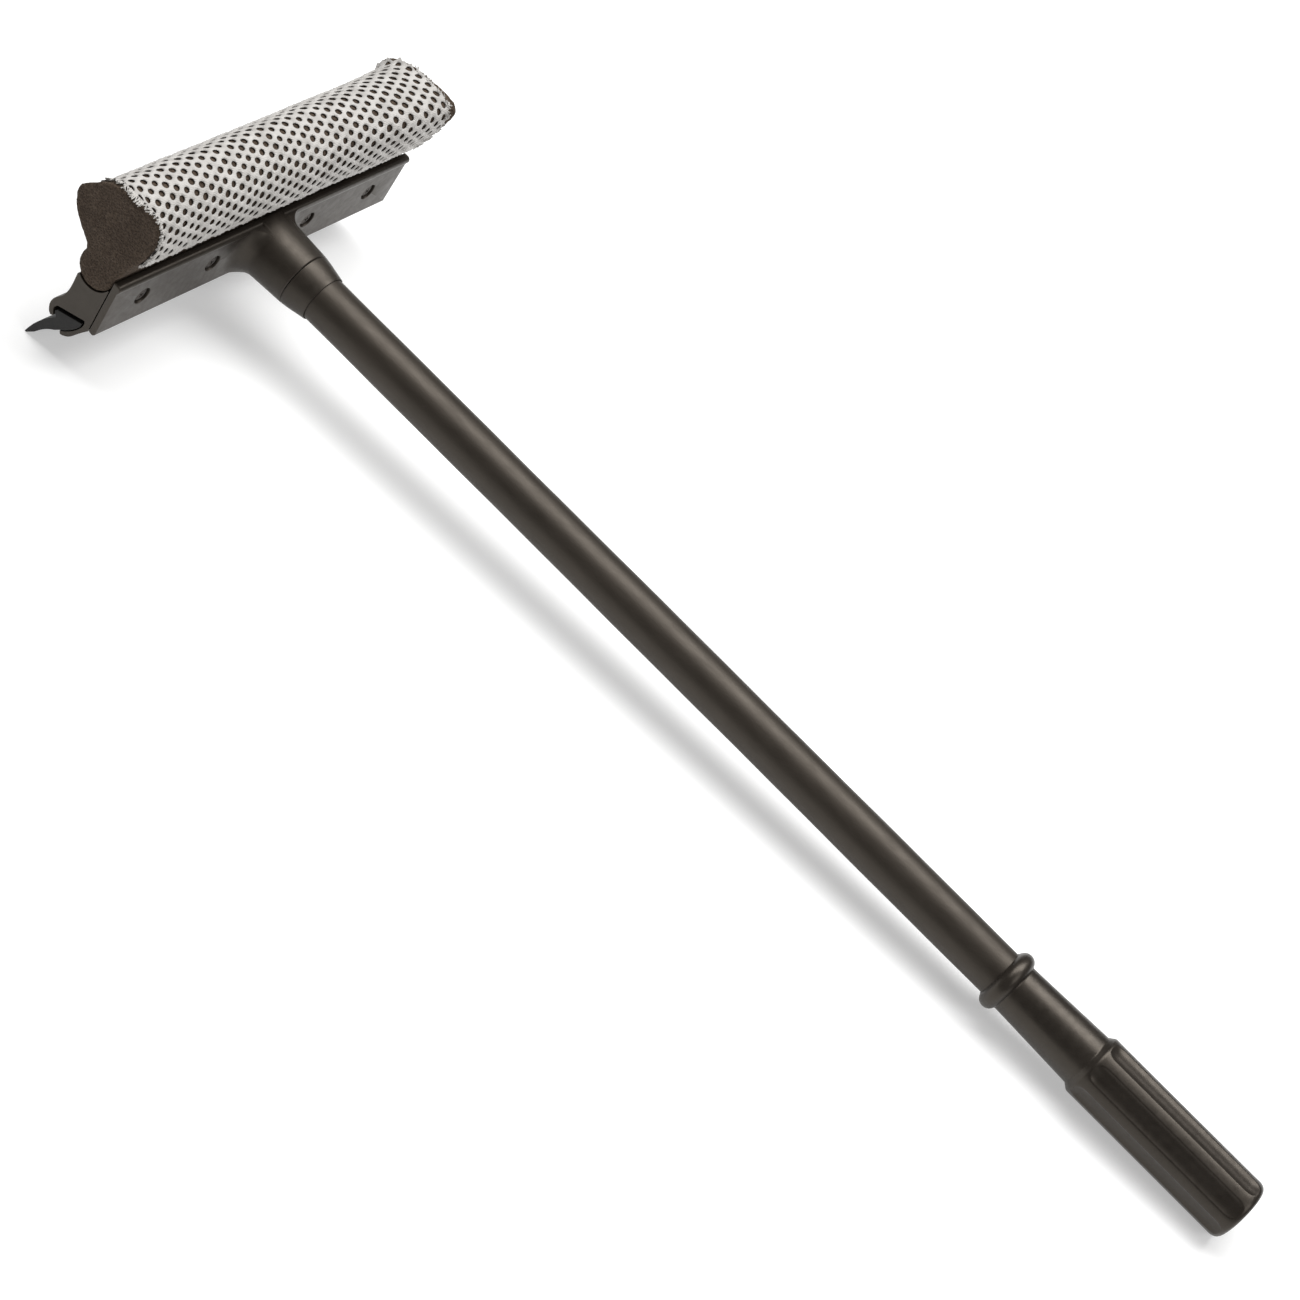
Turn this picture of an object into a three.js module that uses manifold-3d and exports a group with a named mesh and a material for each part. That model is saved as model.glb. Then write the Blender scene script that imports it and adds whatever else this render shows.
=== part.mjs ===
// Hand window washer: an 8 inch head with a netted sponge roll on one side and a squeegee blade on the other,
// carried by a round pole with a fluted grip. Millimetres.
//
// The tool is drawn in its own axes: X along the head, Y along the pole (the grip lies towards -Y), Z towards the
// sponge, with the origin where the pole's axis meets the front of the head's plate. At the end it is laid down on
// the blade's lip and the grip's end rim, as it lies on a table, and the origin goes under the middle of its box.

import * as THREE from 'three';
import { mergeVertices } from 'three/addons/utils/BufferGeometryUtils.js';
import Module from 'manifold-3d';

const wasm = await Module();
wasm.setup();

// ---------------------------------------------------------------- driving dimensions

const CLEARANCE = 0.3;                    // gap left between pieces that touch

const HEAD_LENGTH = 203;
const PLATE_THICKNESS = 3.2;
const PLATE_BOTTOM = -17;
const PLATE_TOP = 13;
const BEAD_OVERHANG = 0.9;                // how far the plate's top bead stands out towards the grip
const BEAD_START = 8.6;

const SOCKET_LENGTH = 26;
const SOCKET_END_RADIUS = 14;
const SOCKET_ROOT_RADIUS = 14.9;
const SOCKET_FILLET = 8.6;
const SOCKET_FLOOR = -2;                  // where the bore for the pole stops, on Y

const SCREW_STATIONS = [-79.2, -33.3, 33.3, 79.2];
const SCREW_HEIGHT = -1.5;
const SCREW_RECESS_RADIUS = 4.3;
const SCREW_RECESS_DEPTH = 1.9;
const SCREW_HEAD_RADIUS = 3.6;
const SCREW_HEAD_HEIGHT = 1.4;
const SCREW_SHANK_RADIUS = 1.6;
const SCREW_SHANK_LENGTH = 12.5;

const TAIL_RADIUS = 9.4;                  // round tail of the sponge, in the cradle of the rear moulding
const TAIL_CENTRE = [13, 10.9];
const SPONGE_LENGTH = 203;
const NET_THICKNESS = 0.8;
const NET_LENGTH = 199;

const BLADE_LENGTH = 203;
const BLADE_TIP = [28.9, -42.6];

const POLE_RADIUS = 11.2;
const POLE_WALL = 1.5;
const POLE_START = -2.6;                  // on Y, just clear of the socket's floor
const POLE_END = -570;
const PLUG_LENGTH = 24;
const HANDLE_SCREW_REACH = 18;

const FERRULE_LENGTH = 12;

const GRIP_END = -590;
const GRIP_RADIUS = 15.1;
const GRIP_STEP = -502.7;                 // where the fluted grip begins
const GRIP_CORNER = 3;
const BEAD_CENTRE = -453.8;               // drip bead
const BEAD_RADIUS = 14.8;
const BEAD_HALF_WIDTH = 4.2;
const NECK_RADIUS = 11.9;
const NECK_FLARE_RADIUS = 13;
const FLUTE_COUNT = 7;
const FLUTE_PHASE = 26;                   // degrees from +Z towards +X, to the middle of a land
const FLUTE_CUTTER_RADIUS = 11;
const FLUTE_DEPTH = 1.5;
const FLUTE_START = -507.5;
const FLUTE_END = -584.5;

const ROUND_SEGMENTS = 40;

// ---------------------------------------------------------------- materials

const plastic = (colour, roughness) => new THREE.MeshStandardMaterial({ color: colour, roughness, metalness: 0 });
const steel = (colour) => new THREE.MeshStandardMaterial({ color: colour, roughness: 0.45, metalness: 0.9 });

// ---------------------------------------------------------------- solids

/** A closed geometry as a manifold solid, turned face out if it was wound the other way. */
function solid(geometry) {
  const bare = geometry.clone();
  bare.deleteAttribute('normal');
  bare.deleteAttribute('uv');
  const merged = mergeVertices(bare, 1e-4);
  const vertProperties = new Float32Array(merged.attributes.position.array);
  const triVerts = new Uint32Array(merged.index.array);
  if (signedVolume(vertProperties, triVerts) < 0) {
    for (let i = 0; i < triVerts.length; i += 3) {
      [triVerts[i + 1], triVerts[i + 2]] = [triVerts[i + 2], triVerts[i + 1]];
    }
  }
  return new wasm.Manifold(new wasm.Mesh({ numProp: 3, vertProperties, triVerts }));
}

function signedVolume(positions, triangles) {
  const corner = (i) => new THREE.Vector3().fromArray(positions, 3 * triangles[i]);
  let six = 0;
  for (let i = 0; i < triangles.length; i += 3) {
    six += corner(i).dot(corner(i + 1).cross(corner(i + 2)));
  }
  return six / 6;
}

/** A named mesh of a manifold solid. */
function piece(name, body, material) {
  const { vertProperties, triVerts } = body.getMesh();
  const geometry = new THREE.BufferGeometry();
  geometry.setAttribute('position', new THREE.BufferAttribute(vertProperties, 3));
  geometry.setIndex(new THREE.BufferAttribute(triVerts, 1));
  geometry.computeVertexNormals();
  const mesh = new THREE.Mesh(geometry, material);
  mesh.name = name;
  return mesh;
}

/** An outline in (Y, Z), extruded along X about the middle of the head, or from one X to another. */
function alongX(outline, length, middle = 0) {
  const geometry = new THREE.ExtrudeGeometry(outline, { depth: length, bevelEnabled: false, curveSegments: 10 });
  const axes = new THREE.Matrix4().makeBasis(
    new THREE.Vector3(0, 1, 0),
    new THREE.Vector3(0, 0, 1),
    new THREE.Vector3(1, 0, 0),
  );
  geometry.applyMatrix4(axes);
  geometry.translate(middle - length / 2, 0, 0);
  return solid(geometry);
}

/** A profile of [radius, Y] pairs, turned about the pole's axis. */
function turned(profile, segments = ROUND_SEGMENTS) {
  return solid(new THREE.LatheGeometry(profile.map(([r, y]) => new THREE.Vector2(r, y)), segments));
}

/** A round pin between two places on Y, at a given X and Z. */
function pin(radius, from, to, x = 0, z = 0, segments = 24) {
  const geometry = new THREE.CylinderGeometry(radius, radius, Math.abs(to - from), segments);
  geometry.translate(x, (from + to) / 2, z);
  return solid(geometry);
}

function box(low, high) {
  const size = high.map((h, i) => h - low[i]);
  const geometry = new THREE.BoxGeometry(...size);
  geometry.translate(...low.map((l, i) => l + size[i] / 2));
  return solid(geometry);
}

/** Points on an arc as [a, b] pairs, with the angles in degrees. */
function arc(centre, radius, from, to, steps) {
  return Array.from({ length: steps + 1 }, (_, i) => {
    const angle = THREE.MathUtils.degToRad(from + ((to - from) * i) / steps);
    return [centre[0] + radius * Math.cos(angle), centre[1] + radius * Math.sin(angle)];
  });
}

const shapeOf = (points) => new THREE.Shape(points.map(([a, b]) => new THREE.Vector2(a, b)));

/** A smooth open line through [a, b] pairs. */
function smooth(points, steps) {
  const curve = new THREE.SplineCurve(points.map(([a, b]) => new THREE.Vector2(a, b)));
  return curve.getPoints(steps).map((p) => [p.x, p.y]);
}

/** An open line moved sideways, to the left of the way it runs. */
function offset(points, distance) {
  return points.map(([a, b], i) => {
    const [fromA, fromB] = points[Math.max(i - 1, 0)];
    const [toA, toB] = points[Math.min(i + 1, points.length - 1)];
    const length = Math.hypot(toA - fromA, toB - fromB);
    return [a - (distance * (toB - fromB)) / length, b + (distance * (toA - fromA)) / length];
  });
}

// ---------------------------------------------------------------- head: front moulding

/** Plate section: flat face, round lower corner, and a bead along the top that stands out towards the grip. */
function plateSection() {
  const corner = PLATE_THICKNESS / 2;
  return shapeOf([
    [PLATE_THICKNESS, PLATE_TOP],
    [PLATE_THICKNESS, PLATE_BOTTOM + 0.4],
    ...arc([corner, PLATE_BOTTOM + corner], corner, 270, 180, 4),
    [0, BEAD_START],
    ...arc([-BEAD_OVERHANG + 2, PLATE_TOP - 2], 2, 190, 90, 5),
  ]);
}

/** Socket: a cone with a wide fillet onto the plate, which the plate's upper and lower edges cut off flat. */
function socketBody() {
  const root = SOCKET_ROOT_RADIUS + SOCKET_FILLET;
  const cone = [[0, -SOCKET_LENGTH], [SOCKET_END_RADIUS, -SOCKET_LENGTH], [SOCKET_ROOT_RADIUS, -SOCKET_FILLET]];
  const flare = turned([
    ...cone,
    ...arc([root, -SOCKET_FILLET], SOCKET_FILLET, 170, 90, 6),
    [root, 1],
    [0, 1],
  ]);
  const plateHeight = box([-40, -SOCKET_LENGTH - 1, PLATE_BOTTOM], [40, 2, PLATE_TOP]);
  const straight = turned([...cone, [SOCKET_ROOT_RADIUS, 1], [0, 1]]);
  return flare.intersect(plateHeight).add(straight.intersect(box([-40, -30, PLATE_BOTTOM], [40, 2, 40])));
}

function frontMoulding() {
  let body = alongX(plateSection(), HEAD_LENGTH).add(socketBody());
  body = body.subtract(pin(POLE_RADIUS + CLEARANCE, -SOCKET_LENGTH - 1, SOCKET_FLOOR, 0, 0, ROUND_SEGMENTS));
  for (const x of SCREW_STATIONS) {
    body = body.subtract(pin(SCREW_RECESS_RADIUS, -1, SCREW_RECESS_DEPTH, x, SCREW_HEIGHT));
    body = body.subtract(pin(SCREW_SHANK_RADIUS + CLEARANCE, 0, PLATE_THICKNESS + 1, x, SCREW_HEIGHT, 16));
  }
  body = body.subtract(handleScrewBody(CLEARANCE));
  return piece('front_moulding', body, plastic(0x2f2d2b, 0.45));
}

// ---------------------------------------------------------------- head: rear moulding

/**
 * Section of the rear moulding: cradle for the sponge's tail on top, flat against the plate in front, and below a
 * channel for the blade's root between a hooked back jaw and a curved front jaw. The channel opens down and back.
 */
function rearSection() {
  const front = PLATE_THICKNESS + CLEARANCE;
  return shapeOf([
    [front, PLATE_BOTTOM],
    [front, 9.0],
    ...arc(TAIL_CENTRE, TAIL_RADIUS + CLEARANCE, 193, 308, 10),
    ...smooth([[19.6, 2.4], [19.4, -4], [19.7, -8.5], [21, -12.8], [23.6, -16.6], [24.5, -20.4], [23.5, -23.8],
      [21.9, -25.4]], 14),
    [20.5, -24.3],
    ...smooth([[21.2, -23.2], [21.9, -21.2], [20.9, -18.9]], 5),
    [20.2, -18.5],
    [6.8, -14.0],
    ...smooth([[6.3, -15.4], [6.9, -18.4], [9.2, -22.6], [12.4, -26.2], [14.8, -28.1]], 8),
    [14.0, -29.4],
    ...smooth([[12.5, -28.9], [9.6, -26.6], [6.4, -21.4], [4.6, -18.6]], 8),
  ]);
}

/** Pockets that keep the walls of the moulding thin, open to the back, between the screw bosses. */
function corePockets() {
  const wall = 2.6;
  const half = HEAD_LENGTH / 2;
  const [outer, inner] = [SCREW_STATIONS[3], SCREW_STATIONS[2]];
  const bossHalf = 4.6;
  const spans = [
    [-half + wall, -outer - bossHalf],
    [-outer + bossHalf, -inner - bossHalf],
    [-inner + bossHalf, -wall / 2],
    [wall / 2, inner - bossHalf],
    [inner + bossHalf, outer - bossHalf],
    [outer + bossHalf, half - wall],
  ];
  return spans.map(([from, to]) => box([from, 7.2, -10.6], [to, 24, -1.6]));
}

function rearMoulding() {
  let body = alongX(rearSection(), HEAD_LENGTH);
  for (const pocket of corePockets()) {
    body = body.subtract(pocket);
  }
  for (const x of SCREW_STATIONS) {
    const end = SCREW_RECESS_DEPTH + SCREW_SHANK_LENGTH;
    body = body.subtract(pin(SCREW_SHANK_RADIUS + CLEARANCE, 0, end + 1, x, SCREW_HEIGHT, 16));
  }
  return piece('rear_moulding', body, plastic(0x2f2d2b, 0.5));
}

// ---------------------------------------------------------------- head: screws

/** Pan head with a cross recess, shank and point, standing in its seat in the plate. */
function clampScrew(name, x) {
  const seat = SCREW_RECESS_DEPTH - CLEARANCE;
  const top = seat - SCREW_HEAD_HEIGHT;
  const tip = seat + SCREW_SHANK_LENGTH;
  const profile = [
    [0, top],
    [SCREW_HEAD_RADIUS * 0.6, top],
    [SCREW_HEAD_RADIUS * 0.92, top + 0.35],
    [SCREW_HEAD_RADIUS, top + 0.8],
    [SCREW_HEAD_RADIUS, seat],
    [SCREW_SHANK_RADIUS, seat],
    [SCREW_SHANK_RADIUS, tip - 2.5],
    [0, tip],
  ];
  let body = turned(profile, 16);
  const arm = SCREW_HEAD_RADIUS * 0.55;
  const depth = top + 0.8;
  body = body.subtract(box([-arm, top - 1, -0.4], [arm, depth, 0.4]));
  body = body.subtract(box([-0.4, top - 1, -arm], [0.4, depth, arm]));
  return piece(name, body.translate([x, 0, SCREW_HEIGHT]), steel(0x4a4a4a));
}

/** Countersunk screw from behind the plate into the pole's plug; grown by a gap it cuts its own hole. */
function handleScrewBody(grow = 0) {
  const back = PLATE_THICKNESS - CLEARANCE + 2 * grow;
  const head = 4.2 + grow;
  const shank = 2 + grow;
  return turned([
    [0, back],
    [head, back],
    [head, back - 0.5 - grow],
    [shank, back - 0.5 - grow - (head - shank)],
    [shank, -HANDLE_SCREW_REACH - grow + 2],
    [0, -HANDLE_SCREW_REACH - grow],
  ], 20);
}

function handleScrew() {
  const back = PLATE_THICKNESS - CLEARANCE;
  const slot = box([-2.4, back - 0.9, -0.45], [2.4, back + 1, 0.45]);
  return piece('handle_screw', handleScrewBody().subtract(slot), steel(0x8a8a88));
}

// ---------------------------------------------------------------- head: sponge, net and blade

/** Outline of the sponge above its tail, from the front of the tail over the crown to the notch behind. */
const CROWN = [
  [1.9, 16.5], [0.6, 24], [-2.6, 33.5], [-5, 43.3], [-4.4, 50], [-0.6, 53.6], [7.5, 53.4], [15.5, 51.3],
  [23.9, 48.0], [31.5, 44.0], [36.6, 39.6], [37.6, 34.2], [34.6, 27.8], [28.6, 22.4], [22.9, 17.6],
];

function spongeSection() {
  const front = PLATE_THICKNESS + CLEARANCE;
  const aboveBead = PLATE_TOP + CLEARANCE;
  return shapeOf([
    [front + 0.2, 12.4],
    [front + 0.2, aboveBead],
    ...smooth([[2.4, aboveBead + 0.6], ...CROWN], 46),
    ...arc(TAIL_CENTRE, TAIL_RADIUS, 385, 186, 16),
  ]);
}

function sponge() {
  return piece('sponge', alongX(spongeSection(), SPONGE_LENGTH), plastic(0x6b5f54, 0.95));
}

/** Netting as one thin shell round the crown, a little shorter than the sponge. */
function spongeNet() {
  const line = smooth(CROWN.slice(0, -1), 44).slice(3);
  const inside = offset(line, CLEARANCE + 0.1);
  const outside = offset(line, CLEARANCE + 0.1 + NET_THICKNESS);
  const section = shapeOf([...inside, ...outside.reverse()]);
  return piece('sponge_net', alongX(section, NET_LENGTH), plastic(0xd8d4cc, 0.8));
}

/** Blade rubber: wide root held in the channel, thick waist in its mouth, and a lip that thins to the tip. */
function bladeSection() {
  return shapeOf([
    [7.3, -16.3],
    [19.9, -20.5],
    ...smooth([[20.7, -21.5], [20.5, -22.4], [19.6, -23.4]], 3),
    [19.3, -24.4],
    ...smooth([[20.6, -26.0], [22.4, -28.4], [24.5, -31.6], [27.0, -36.8], BLADE_TIP], 9),
    [BLADE_TIP[0] - 1.0, BLADE_TIP[1] + 0.1],
    ...smooth([[24.8, -39.2], [22.2, -35.2], [19.6, -32.2], [17.0, -30.0], [15.1, -28.0]], 9),
    ...smooth([[12.8, -26.0], [9.7, -22.4], [7.4, -18.4]], 5),
  ]);
}

function rubberBlade() {
  return piece('rubber_blade', alongX(bladeSection(), BLADE_LENGTH), plastic(0x1d1c1b, 0.6));
}

// ---------------------------------------------------------------- handle

function socketFerrule() {
  const start = -SOCKET_LENGTH - CLEARANCE;
  const end = start - FERRULE_LENGTH;
  const bore = POLE_RADIUS + CLEARANCE;
  const body = turned([
    [bore, start],
    [SOCKET_END_RADIUS - 0.4, start],
    [SOCKET_END_RADIUS, start - 0.5],
    [SOCKET_END_RADIUS - 0.5, start - 3],
    [bore + 0.6, end],
    [bore, end],
    [bore, start],
  ]);
  return piece('socket_ferrule', body, plastic(0x33312f, 0.45));
}

function poleTube() {
  const inside = POLE_RADIUS - POLE_WALL;
  const body = turned([
    [inside, POLE_START],
    [POLE_RADIUS, POLE_START],
    [POLE_RADIUS, POLE_END],
    [inside, POLE_END],
    [inside, POLE_START],
  ]);
  return piece('pole_tube', body, plastic(0x34322f, 0.42));
}

/** Plug in the pole's head end, with three grip rings and a hole for the handle screw. */
function polePlug() {
  const radius = POLE_RADIUS - POLE_WALL - CLEARANCE;
  const waist = radius - 1.2;
  const ring = PLUG_LENGTH / 6;
  const start = POLE_START;
  const profile = [[0, start]];
  for (let i = 0; i < 3; i += 1) {
    const from = start - 2 * i * ring;
    profile.push([radius, from], [radius, from - ring], [waist, from - ring], [waist, from - 2 * ring]);
  }
  profile.push([0, start - PLUG_LENGTH]);
  return piece('pole_plug', turned(profile, 28).subtract(handleScrewBody(CLEARANCE)), plastic(0x55524c, 0.7));
}

/** Sleeve over the pole's lower end: drip bead, neck that widens towards the grip, and the fluted grip. */
function gripSleeve() {
  const mouth = BEAD_CENTRE + BEAD_HALF_WIDTH;
  const body = turned([
    [0, mouth],
    [NECK_RADIUS - 0.2, mouth],
    ...arc([BEAD_RADIUS - BEAD_HALF_WIDTH, BEAD_CENTRE], BEAD_HALF_WIDTH, 72, -72, 8),
    [NECK_RADIUS - 0.2, BEAD_CENTRE - BEAD_HALF_WIDTH - 0.3],
    [NECK_RADIUS, BEAD_CENTRE - BEAD_HALF_WIDTH - 8],
    [NECK_FLARE_RADIUS, GRIP_STEP + 1],
    [NECK_FLARE_RADIUS, GRIP_STEP],
    [GRIP_RADIUS - 0.6, GRIP_STEP],
    [GRIP_RADIUS, GRIP_STEP - 0.8],
    ...arc([GRIP_RADIUS - GRIP_CORNER, GRIP_END + GRIP_CORNER], GRIP_CORNER, 0, -90, 5),
    [0, GRIP_END],
  ], 48);
  const bore = pin(POLE_RADIUS + CLEARANCE, mouth + 1, POLE_END - CLEARANCE, 0, 0, ROUND_SEGMENTS);
  let grip = body.subtract(bore);
  const straight = FLUTE_START - FLUTE_END - 2 * Math.sqrt(FLUTE_CUTTER_RADIUS ** 2
    - (FLUTE_CUTTER_RADIUS - FLUTE_DEPTH) ** 2);
  const out = GRIP_RADIUS + FLUTE_CUTTER_RADIUS - FLUTE_DEPTH;
  for (let i = 0; i < FLUTE_COUNT; i += 1) {
    const angle = THREE.MathUtils.degToRad(FLUTE_PHASE + ((i + 0.5) * 360) / FLUTE_COUNT);
    const cutter = new THREE.CapsuleGeometry(FLUTE_CUTTER_RADIUS, straight, 8, 36);
    cutter.translate(out * Math.sin(angle), (FLUTE_START + FLUTE_END) / 2, out * Math.cos(angle));
    grip = grip.subtract(solid(cutter));
  }
  return piece('grip_sleeve', grip, plastic(0x302e2c, 0.4));
}

// ---------------------------------------------------------------- the tool, laid down

const tool = new THREE.Group();
tool.add(
  frontMoulding(),
  rearMoulding(),
  ...SCREW_STATIONS.map((x, i) => clampScrew(`clamp_screw_${i + 1}`, x)),
  handleScrew(),
  sponge(),
  spongeNet(),
  rubberBlade(),
  socketFerrule(),
  poleTube(),
  polePlug(),
  gripSleeve(),
);

// The blade's tip and the rim at the grip's end touch the table together.
const drop = -GRIP_RADIUS - BLADE_TIP[1];
const span = BLADE_TIP[0] - (GRIP_END + GRIP_CORNER);
tool.rotation.x = Math.atan2(drop, span);

const footprint = new THREE.Box3().setFromObject(tool, true);
const middle = footprint.getCenter(new THREE.Vector3());
tool.position.set(-middle.x, -middle.y, -footprint.min.z);

const washer = new THREE.Group();
washer.add(tool);

export default washer;
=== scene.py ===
# Hand window washer: netted sponge and squeegee blade on an 8 inch head, round pole with a fluted grip.
# Shapes are drawn in the tool's own axes, in millimetres: X along the head, Y along the pole with the grip towards
# -Y, Z towards the sponge, origin where the pole's axis meets the plate. place() takes them to the CAD's frame.
import math

import bmesh
import bpy
import numpy as np
from mathutils import Matrix, Vector, noise


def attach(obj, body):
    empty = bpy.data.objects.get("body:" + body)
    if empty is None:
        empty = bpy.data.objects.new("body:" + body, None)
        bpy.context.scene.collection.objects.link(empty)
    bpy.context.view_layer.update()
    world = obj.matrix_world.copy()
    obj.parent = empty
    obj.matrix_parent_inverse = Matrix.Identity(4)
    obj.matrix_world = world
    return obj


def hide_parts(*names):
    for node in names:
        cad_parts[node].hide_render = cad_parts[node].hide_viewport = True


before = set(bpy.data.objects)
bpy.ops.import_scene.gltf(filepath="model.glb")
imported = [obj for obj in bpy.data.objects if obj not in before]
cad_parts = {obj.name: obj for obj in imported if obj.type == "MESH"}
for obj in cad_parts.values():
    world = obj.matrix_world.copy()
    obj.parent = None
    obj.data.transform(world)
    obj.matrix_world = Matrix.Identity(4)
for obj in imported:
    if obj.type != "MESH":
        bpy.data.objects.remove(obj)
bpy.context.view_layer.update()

RANDOM_SEED = 5

# ---------------------------------------------------------------- sizes in millimetres, the CAD's but for the grip

HEAD_HALF = 101.5
PLATE_THICKNESS = 3.2
PLATE_BOTTOM = -17.0
PLATE_TOP = 13.0
BEAD_OVERHANG = 0.9
BEAD_START = 8.6
CLEARANCE = 0.3

SOCKET_LENGTH = 26.0
SOCKET_END_RADIUS = 14.0
SOCKET_ROOT_RADIUS = 14.9
SOCKET_FILLET = 8.6
SOCKET_FLOOR = -2.0

SCREW_STATIONS = (-79.2, -33.3, 33.3, 79.2)
SCREW_HEIGHT = -1.5
SCREW_RECESS_RADIUS = 4.3
SCREW_RECESS_DEPTH = 1.9
SCREW_HEAD_RADIUS = 3.6
SCREW_SHANK_RADIUS = 1.6
SCREW_SHANK_LENGTH = 12.5
HANDLE_SCREW_HOLE = 2.3
HANDLE_SCREW_SINK = 4.5

TAIL_CENTRE = (13.0, 10.9)
TAIL_RADIUS = 9.4
NET_HALF = 99.5

POLE_RADIUS = 11.2
POLE_WALL = 1.5
POLE_START = -2.6
POLE_END = -570.0
FERRULE_LENGTH = 12.0

GRIP_END = -588.8                         # 1.2 short of the CAD's
GRIP_RADIUS = 15.1
GRIP_STEP = -502.7
BEAD_CENTRE = -453.8
BEAD_RADIUS = 14.8
BEAD_HALF_WIDTH = 4.2
NECK_RADIUS = 11.9
NECK_FLARE_RADIUS = 13.0
FLUTE_COUNT = 7
FLUTE_PHASE = 24.5                        # degrees
FLUTE_HALF_ANGLE = 16.8                   # degrees
FLUTE_DEPTH = 1.2
FLUTE_START = -503.2
FLUTE_END = -586.4
FLUTE_RUN_OUT = 5.0

ROUND_SEGMENTS = 96
SCREW_SEGMENTS = 48
GRIP_SEGMENTS = 280

# ---------------------------------------------------------------- the tool's place in the frame


def tool_axes():
    """Origin, in metres, and the X, Y, Z directions of the tool, from the two ends of the CAD's pole."""
    points = np.array([v.co[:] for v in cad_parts["pole_tube"].data.vertices])
    middle = points[:, 1].mean()
    ends = [points[points[:, 1] > middle], points[points[:, 1] < middle]]
    head, grip = [(end.min(axis=0) + end.max(axis=0)) / 2 for end in ends]
    along = (head - grip) / np.linalg.norm(head - grip)
    across = np.array([1.0, 0.0, 0.0])
    return head - along * POLE_START / 1000, np.array([across, along, np.cross(across, along)])


ORIGIN, AXES = tool_axes()


def place(points):
    """Tool millimetres to frame metres."""
    return ORIGIN + np.asarray(points, float) / 1000 @ AXES


# ---------------------------------------------------------------- lines and outlines

LOOP_REACH = 8


def smooth(points, steps):
    """Catmull-Rom line through the points, as an array of steps + 1 rows."""
    points = np.asarray(points, float)
    last = len(points) - 1
    out = []
    for at in np.linspace(0, last, steps + 1):
        i = min(int(at), last - 1)
        t = at - i
        p0, p1, p2, p3 = points[max(i - 1, 0)], points[i], points[i + 1], points[min(i + 2, last)]
        out.append(0.5 * (2 * p1 + (p2 - p0) * t + (2 * p0 - 5 * p1 + 4 * p2 - p3) * t ** 2
                          + (3 * p1 - p0 - 3 * p2 + p3) * t ** 3))
    return np.array(out)


def arc(centre, radius, start, end, steps):
    """Points on a circle, angles in degrees."""
    angles = np.radians(np.linspace(start, end, steps + 1))
    return np.stack([centre[0] + radius * np.cos(angles), centre[1] + radius * np.sin(angles)], axis=1)


def joined(*parts):
    """Points and lines one after another, as one array."""
    return np.concatenate([np.atleast_2d(np.asarray(part, float)) for part in parts])


def soften(outline, radius, corner=22.0, steps=4):
    """The closed outline with each corner sharper than `corner` degrees rounded to about `radius`."""
    outline = np.asarray(outline, float)
    out = []
    for i, here in enumerate(outline):
        before, after = outline[i - 1] - here, outline[(i + 1) % len(outline)] - here
        lengths = np.linalg.norm(before), np.linalg.norm(after)
        if min(lengths) < 1e-6:
            continue
        turn = math.pi - math.acos(np.clip(before @ after / lengths[0] / lengths[1], -1, 1))
        if math.degrees(turn) < corner:
            out.append(here)
            continue
        cut = min(radius * math.tan(min(turn, 2.6) / 2), 0.45 * lengths[0], 0.45 * lengths[1])
        a, b = here + before / lengths[0] * cut, here + after / lengths[1] * cut
        out += [(1 - t) ** 2 * a + 2 * t * (1 - t) * here + t ** 2 * b for t in np.linspace(0, 1, steps + 1)]
    return np.array(out)


def area_of(outline):
    """Signed area of a closed outline."""
    a, b = outline[:, 0], outline[:, 1]
    return 0.5 * float(np.sum(a * np.roll(b, -1) - np.roll(a, -1) * b))


def crossing(a, b, c, d):
    """Where the segments a-b and c-d cross, or None."""
    r, s, w = b - a, d - c, c - a
    across = r[0] * s[1] - r[1] * s[0]
    if abs(across) < 1e-12:
        return None
    t, u = (w[0] * s[1] - w[1] * s[0]) / across, (w[0] * r[1] - w[1] * r[0]) / across
    return a + t * r if 0 <= t <= 1 and 0 <= u <= 1 else None


def inset(outline, distance):
    """The closed outline moved inwards. Loops of up to LOOP_REACH points are drawn together into their crossing."""
    tangent = np.roll(outline, -1, axis=0) - np.roll(outline, 1, axis=0)
    tangent /= np.maximum(np.linalg.norm(tangent, axis=1, keepdims=True), 1e-9)
    inward = np.stack([-tangent[:, 1], tangent[:, 0]], axis=1)
    out = outline + inward * distance * (1 if area_of(outline) > 0 else -1)
    if distance == 0:
        return out
    count = len(out)
    for i in range(count):
        for ahead in range(LOOP_REACH, 1, -1):
            j = (i + ahead) % count
            meeting = crossing(out[i], out[(i + 1) % count], out[j], out[(j + 1) % count])
            if meeting is not None:
                for k in range(1, ahead + 1):
                    out[(i + k) % count] = meeting
                break
    return out


# ---------------------------------------------------------------- meshes

SHARP_ANGLE = 32.0                        # degrees
LARGEST_SMOOTH_FACE = 12                  # corners


def bare_mesh(name, points, faces):
    """A mesh in tool millimetres, with its faces turned outwards."""
    mesh = bpy.data.meshes.new(name)
    mesh.from_pydata([tuple(map(float, p)) for p in points], [], [tuple(map(int, f)) for f in faces])
    work = bmesh.new()
    work.from_mesh(mesh)
    bmesh.ops.remove_doubles(work, verts=work.verts, dist=1e-5)
    bmesh.ops.recalc_face_normals(work, faces=work.faces)
    work.to_mesh(mesh)
    work.free()
    return mesh


def tube_faces(rings, count, start=0):
    """Quads between successive rings of `count` points."""
    faces = []
    for r in range(rings - 1):
        low, high = start + r * count, start + (r + 1) * count
        for i in range(count):
            j = (i + 1) % count
            faces.append((low + i, low + j, high + j, high + i))
    return faces


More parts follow.
